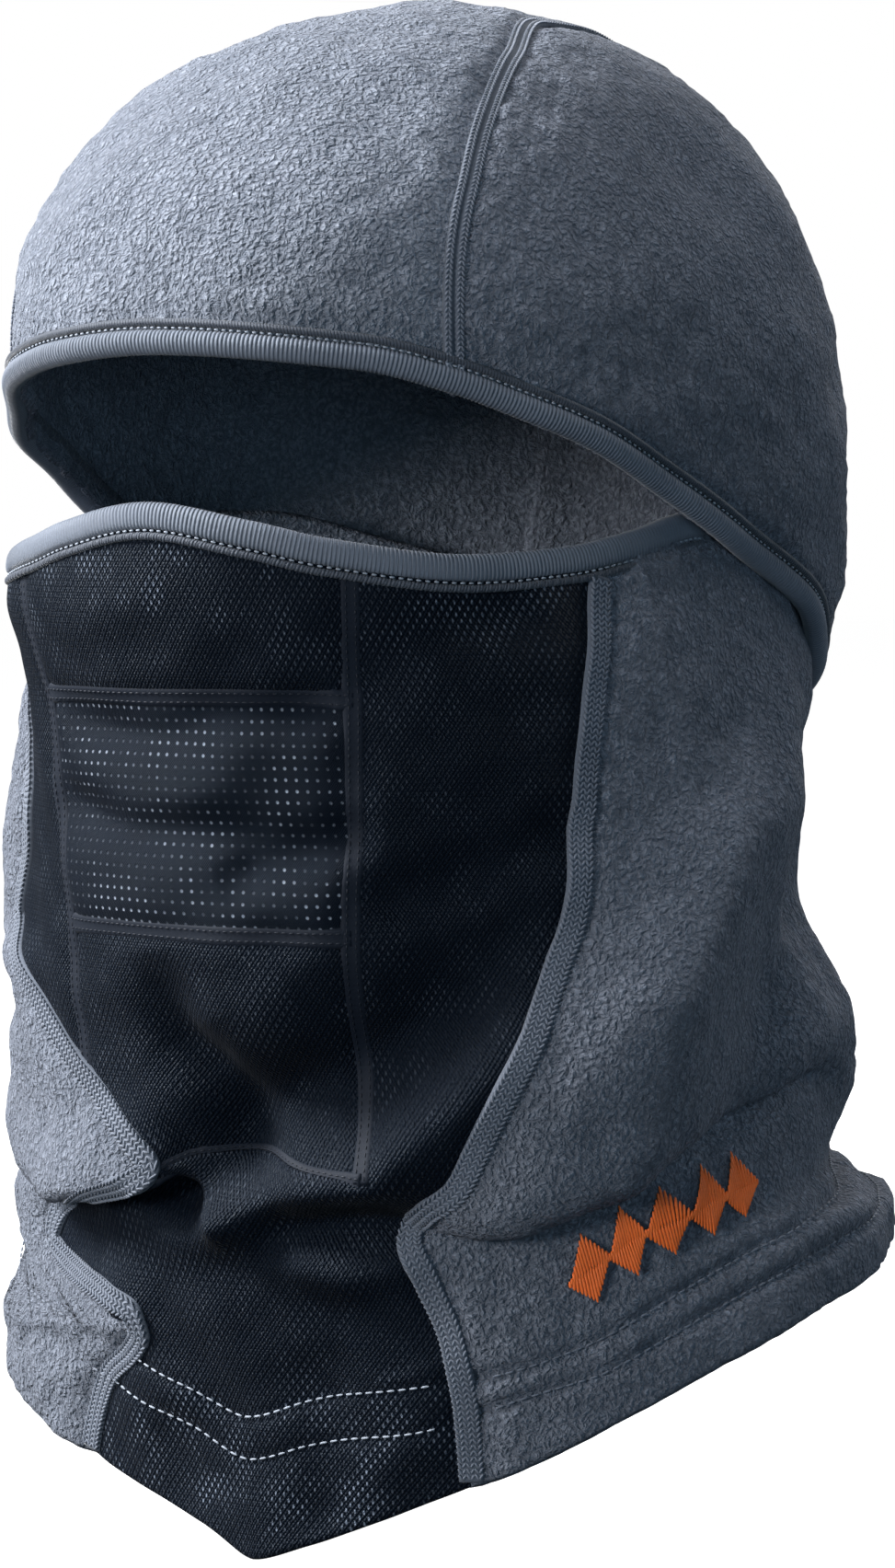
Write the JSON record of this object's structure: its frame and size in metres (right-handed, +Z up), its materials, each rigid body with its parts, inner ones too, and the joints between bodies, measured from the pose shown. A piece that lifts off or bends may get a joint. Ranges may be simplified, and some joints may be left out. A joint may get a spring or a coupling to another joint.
{
  "type": "balaclava",
  "caption": "Hinged winter balaclava: a fleece hood over a fleece neck tube with a mesh face mask that pulls down, a ribbed edge binding and a pointed hem.",
  "frame": {"origin": "inside of the crown of the hood, on the middle plane, where the top of the wearer's head bears", "axes": "+Z up as worn, -Y the way the face looks, +X the wearer's left"},
  "size_m": [0.1952, 0.2156, 0.341],
  "materials": {
    "fleece": "napped pile, slate grey",
    "mesh": "open knit, blue black",
    "perforated_mesh": "knit with rows of eyelets",
    "binding": "ribbed elastic binding",
    "seam_thread": "braided sewing thread",
    "dark_thread": "sewing thread",
    "light_thread": "sewing thread",
    "orange_thread": "satin embroidery thread"
  },
  "bodies": {
    "neck": {"chin_panel": "mesh", "front_mesh_panel": "mesh", "neck_fleece_wrap": "fleece", "insert_seam_left": "dark_thread", "insert_seam_right": "dark_thread", "flatlock_seam_left": "seam_thread", "flatlock_seam_right": "seam_thread", "mouth_chin_seam": "dark_thread", "chin_bib_seam": "dark_thread", "hem_front_stitching_lower": "light_thread", "hem_back_stitching_lower": "seam_thread", "hem_front_stitching_upper": "light_thread", "hem_back_stitching_upper": "seam_thread", "embroidered_diamonds": "orange_thread"},
    "hood": {"hood_crown_panel": "fleece", "hood_side_panel_left": "fleece", "hood_side_panel_right": "fleece", "hood_crown_seam_left": "seam_thread", "hood_crown_seam_right": "seam_thread", "hood_edge_binding": "binding", "hood_binding_stitching": "light_thread"},
    "mask": {"mask_edge_binding": "binding", "mask_binding_stitching": "light_thread", "nose_panel": "mesh", "mouth_panel": "perforated_mesh", "nose_mouth_seam": "dark_thread"}
  },
  "joints": [
    {"name": "hood_back", "type": "hinge", "parent": "neck", "child": "hood", "pos_m": [0, 0.081, -0.1645], "axis": [-1, 0, 0], "range_deg": [0, 80]},
    {"name": "mask_drop", "type": "hinge", "parent": "neck", "child": "mask", "pos_m": [0, 0.005, -0.112], "axis": [1, 0, 0], "range_deg": [0, 30], "deforming": ["mouth_panel", "nose_mouth_seam", "mouth_chin_seam", "chin_panel", "chin_bib_seam", "insert_seam_left", "insert_seam_right", "flatlock_seam_left", "flatlock_seam_right", "front_mesh_panel", "neck_fleece_wrap"]}
  ]
}
